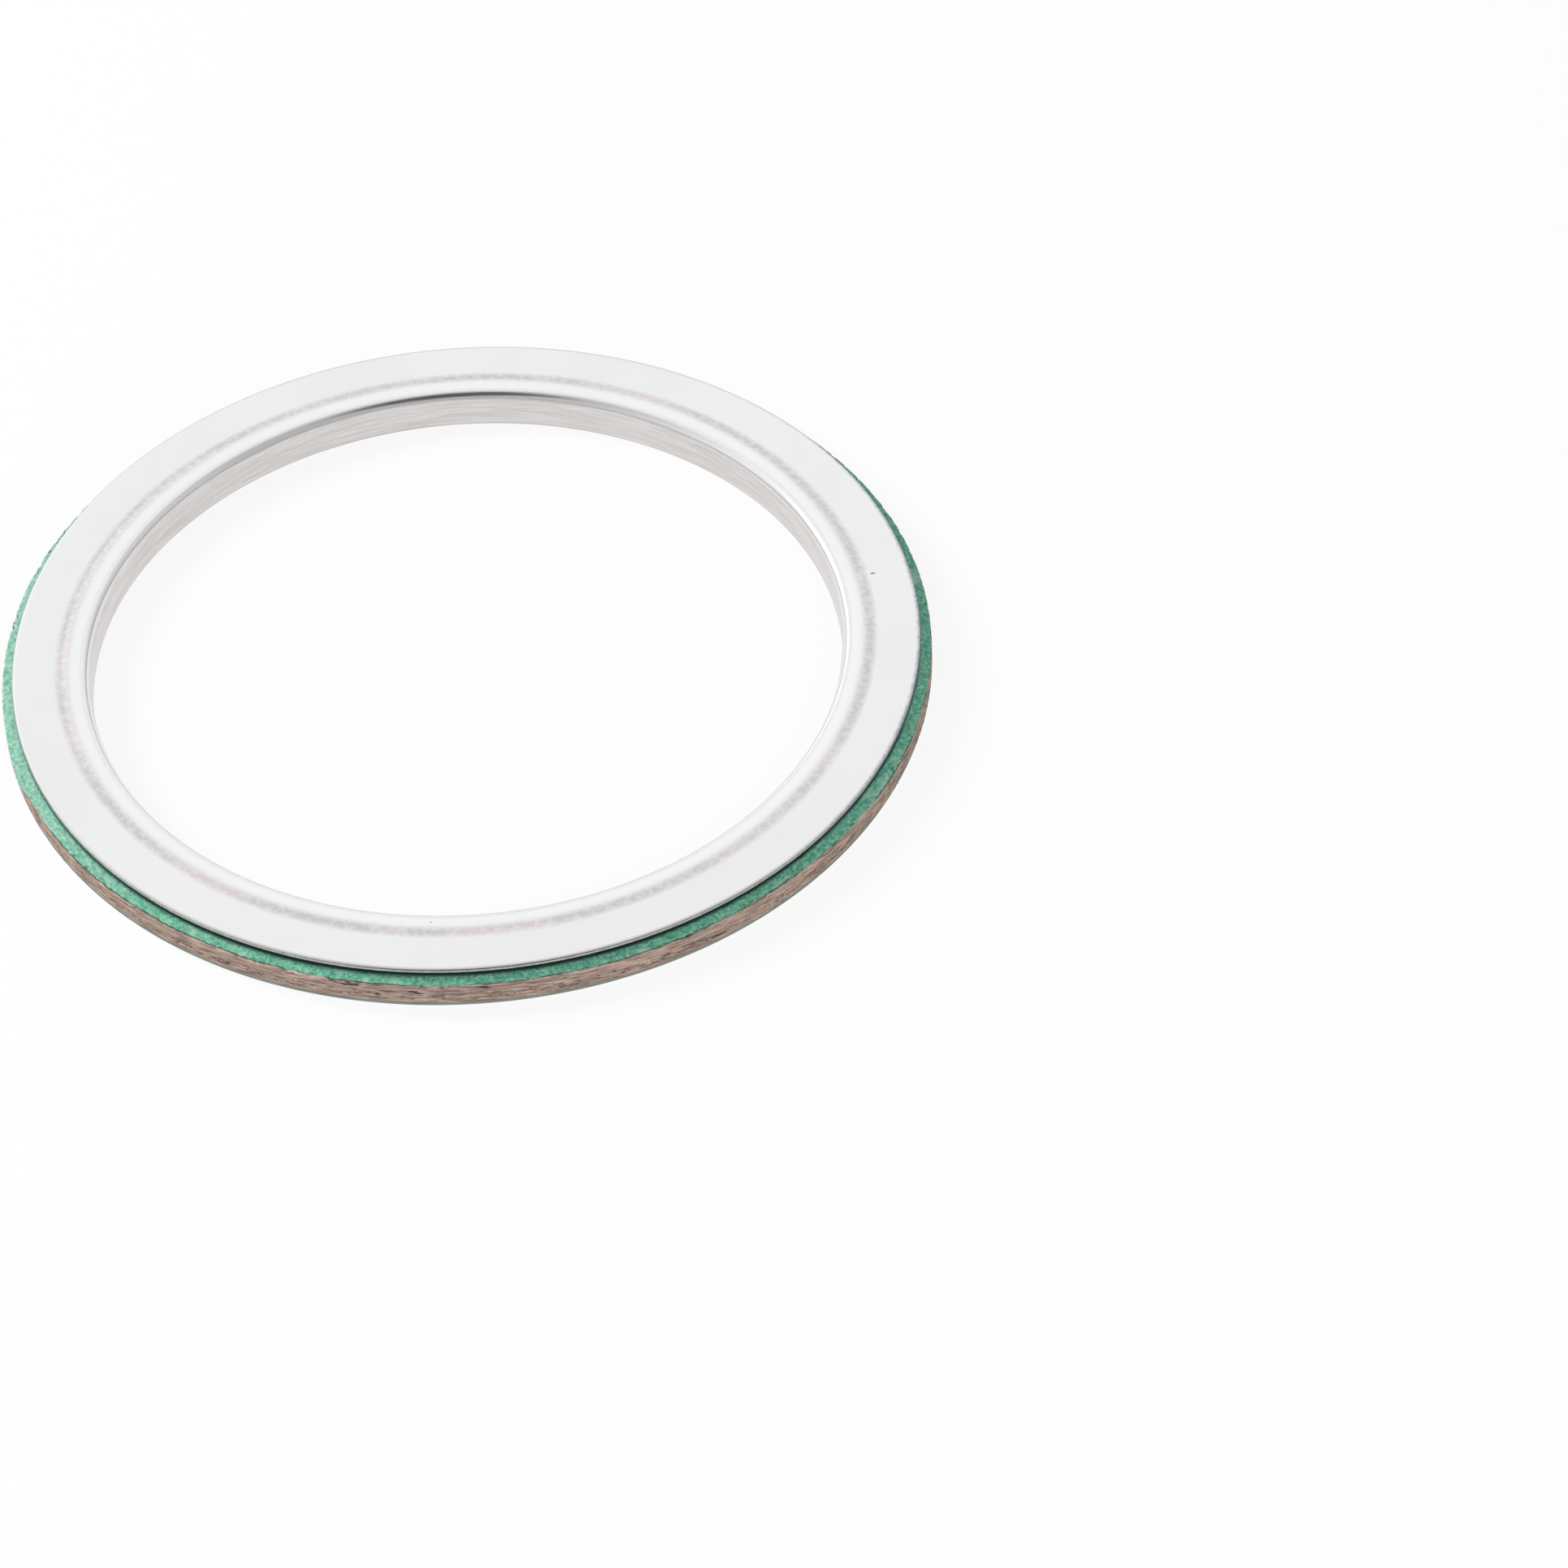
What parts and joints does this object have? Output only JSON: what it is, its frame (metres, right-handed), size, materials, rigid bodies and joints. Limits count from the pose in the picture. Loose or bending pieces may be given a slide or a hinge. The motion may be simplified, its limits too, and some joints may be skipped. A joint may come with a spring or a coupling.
{
  "type": "metal-jacketed ring gasket",
  "caption": "Round sheet-metal jacketed gasket with a compressed fibre filler and a backing washer, for sealing a hot pipe or exhaust flange.",
  "frame": {"origin": "on the ring's axis, in the plane that it rests on, which is the outer face of the folded lip", "axes": "+Z along the ring's axis, from the folded lip towards the face of the wide flange; X and Y are equal, as the gasket is round"},
  "size_m": [0.099, 0.099, 0.0046],
  "materials": {
    "jacket_metal": "bright rolled sheet, satin",
    "washer_metal": "bright rolled sheet, near mirror",
    "fibre_board": "matt green coated faces, raw pinkish-brown cut edge"
  },
  "bodies": {
    "root": {"jacket": "jacket_metal", "washer": "washer_metal", "filler": "fibre_board"}
  },
  "joints": []
}
